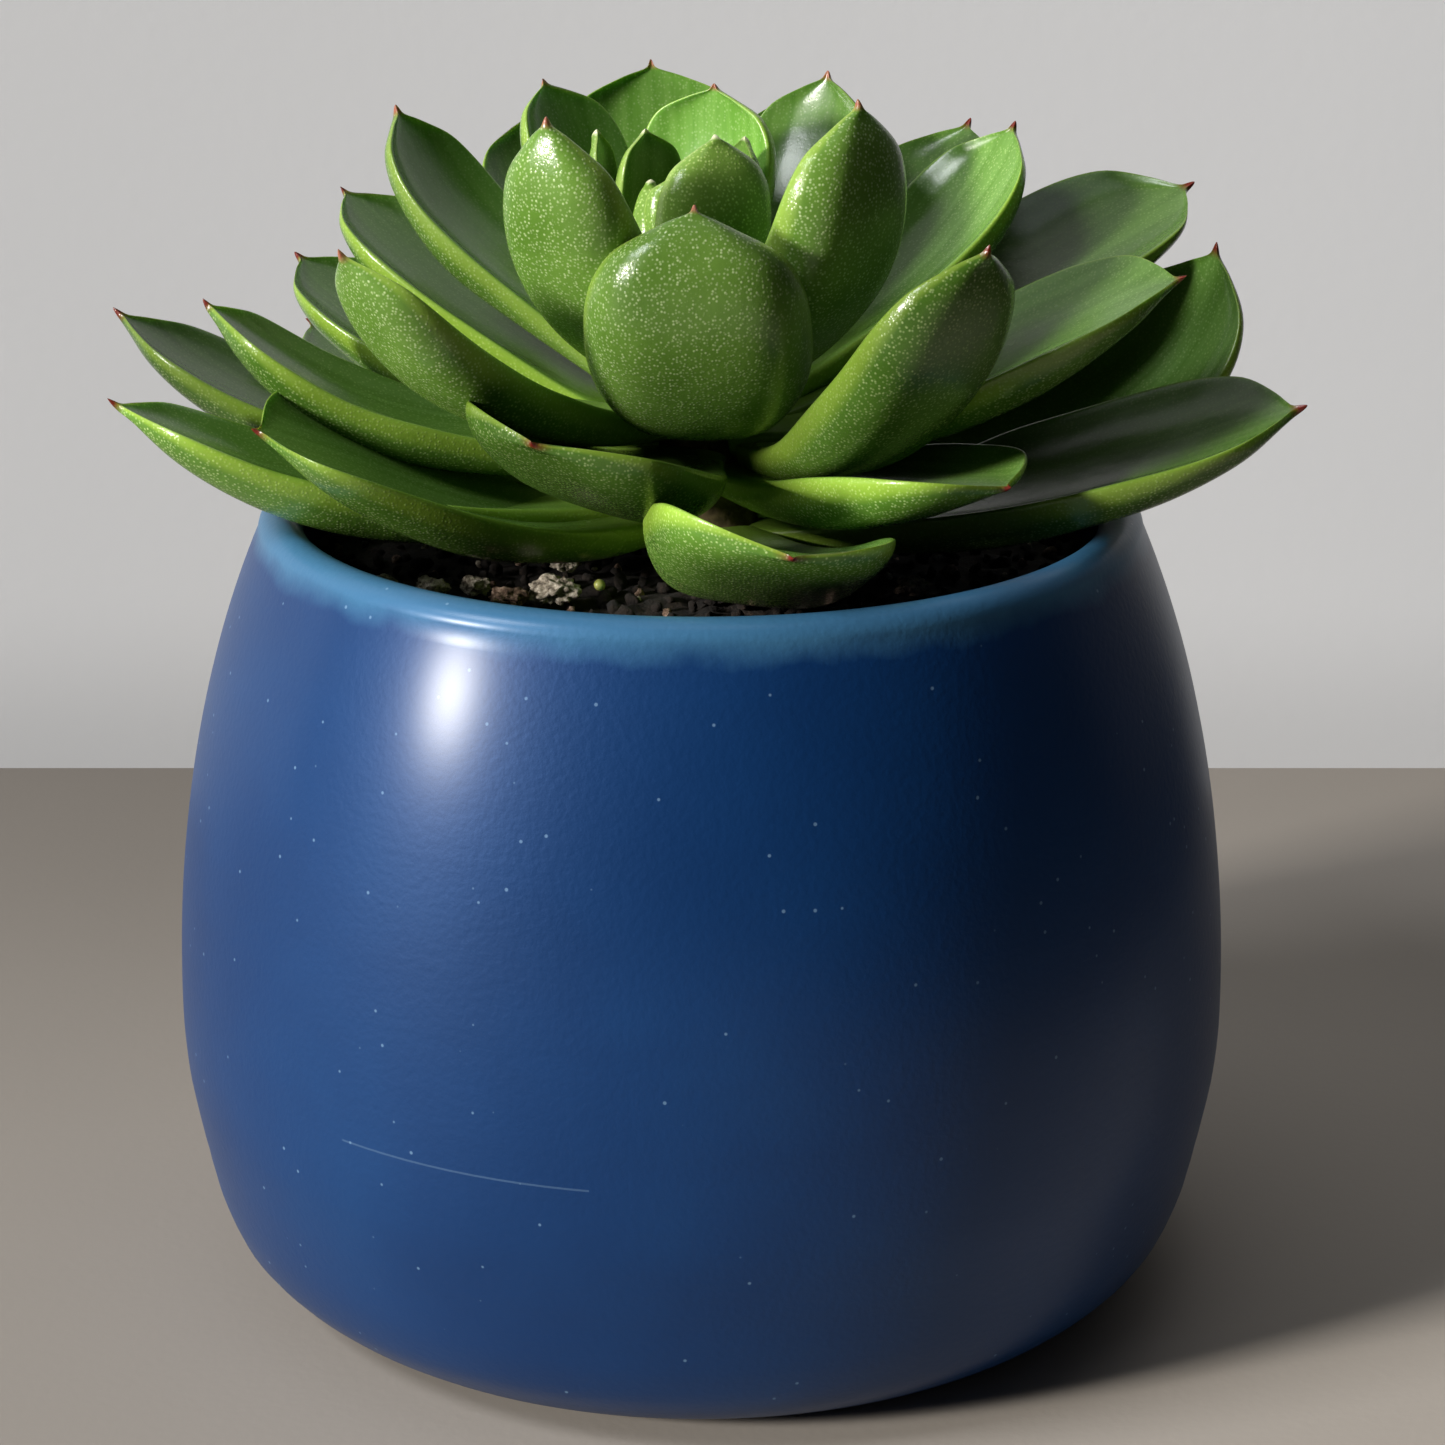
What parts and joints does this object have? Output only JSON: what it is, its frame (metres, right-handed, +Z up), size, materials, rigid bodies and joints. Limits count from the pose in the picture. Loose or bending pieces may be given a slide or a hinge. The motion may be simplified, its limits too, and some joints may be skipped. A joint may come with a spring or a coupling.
{
  "type": "potted succulent",
  "caption": "Rosette succulent with pointed fleshy green leaves on a short stem, growing in dark soil in a matte blue egg-shaped ceramic pot.",
  "frame": {"origin": "middle of the pot's flat underside", "axes": "+Z up along the pot's axis, -Y towards the side of the rosette with the broad low front leaves"},
  "size_m": [0.1308, 0.1216, 0.136],
  "materials": {
    "blue_matte_clay": "matte deep blue, fine grain, paler worn lip",
    "potting_soil": "dark, moist and crumbly",
    "stem_cork": "rough, dry, scarred",
    "heart_leaf_flesh": "waxy, pale, smooth, soft gloss",
    "inner_leaf_flesh": "waxy, soft gloss, fine light dots underneath",
    "outer_leaf_flesh": "waxy, soft gloss, fine light dots underneath, dark red point",
    "pale_crumb": "dry, rough and dusty",
    "fertiliser_wax": "smooth, waxy"
  },
  "bodies": {
    "root": {"pot": "blue_matte_clay", "soil": "potting_soil", "stem": "stem_cork", "leaf_01": "heart_leaf_flesh", "leaf_02": "heart_leaf_flesh", "leaf_03": "heart_leaf_flesh", "leaf_04": "heart_leaf_flesh", "leaf_05": "heart_leaf_flesh", "leaf_06": "heart_leaf_flesh", "leaf_07": "heart_leaf_flesh", "leaf_08": "inner_leaf_flesh", "leaf_09": "inner_leaf_flesh", "leaf_10": "inner_leaf_flesh", "leaf_11": "inner_leaf_flesh", "leaf_12": "inner_leaf_flesh", "leaf_13": "inner_leaf_flesh", "leaf_14": "inner_leaf_flesh", "leaf_15": "inner_leaf_flesh", "leaf_16": "inner_leaf_flesh", "leaf_17": "inner_leaf_flesh", "leaf_18": "outer_leaf_flesh", "leaf_19": "outer_leaf_flesh", "leaf_20": "outer_leaf_flesh", "leaf_21": "outer_leaf_flesh", "leaf_22": "outer_leaf_flesh", "leaf_23": "outer_leaf_flesh", "leaf_24": "outer_leaf_flesh", "leaf_25": "outer_leaf_flesh", "leaf_26": "outer_leaf_flesh", "leaf_27": "outer_leaf_flesh", "leaf_28": "outer_leaf_flesh", "leaf_29": "outer_leaf_flesh", "leaf_30": "outer_leaf_flesh", "leaf_31": "outer_leaf_flesh", "leaf_32": "outer_leaf_flesh", "leaf_33": "outer_leaf_flesh", "leaf_34": "outer_leaf_flesh", "leaf_35": "outer_leaf_flesh", "leaf_36": "outer_leaf_flesh", "leaf_37": "outer_leaf_flesh", "leaf_38": "outer_leaf_flesh", "leaf_39": "outer_leaf_flesh", "leaf_40": "outer_leaf_flesh", "soil_crumb_1": "pale_crumb", "soil_crumb_2": "pale_crumb", "soil_crumb_3": "pale_crumb", "soil_crumb_4": "pale_crumb", "soil_crumb_5": "pale_crumb", "soil_crumb_6": "pale_crumb", "soil_crumb_7": "pale_crumb", "fertiliser_bead": "fertiliser_wax"}
  },
  "joints": []
}
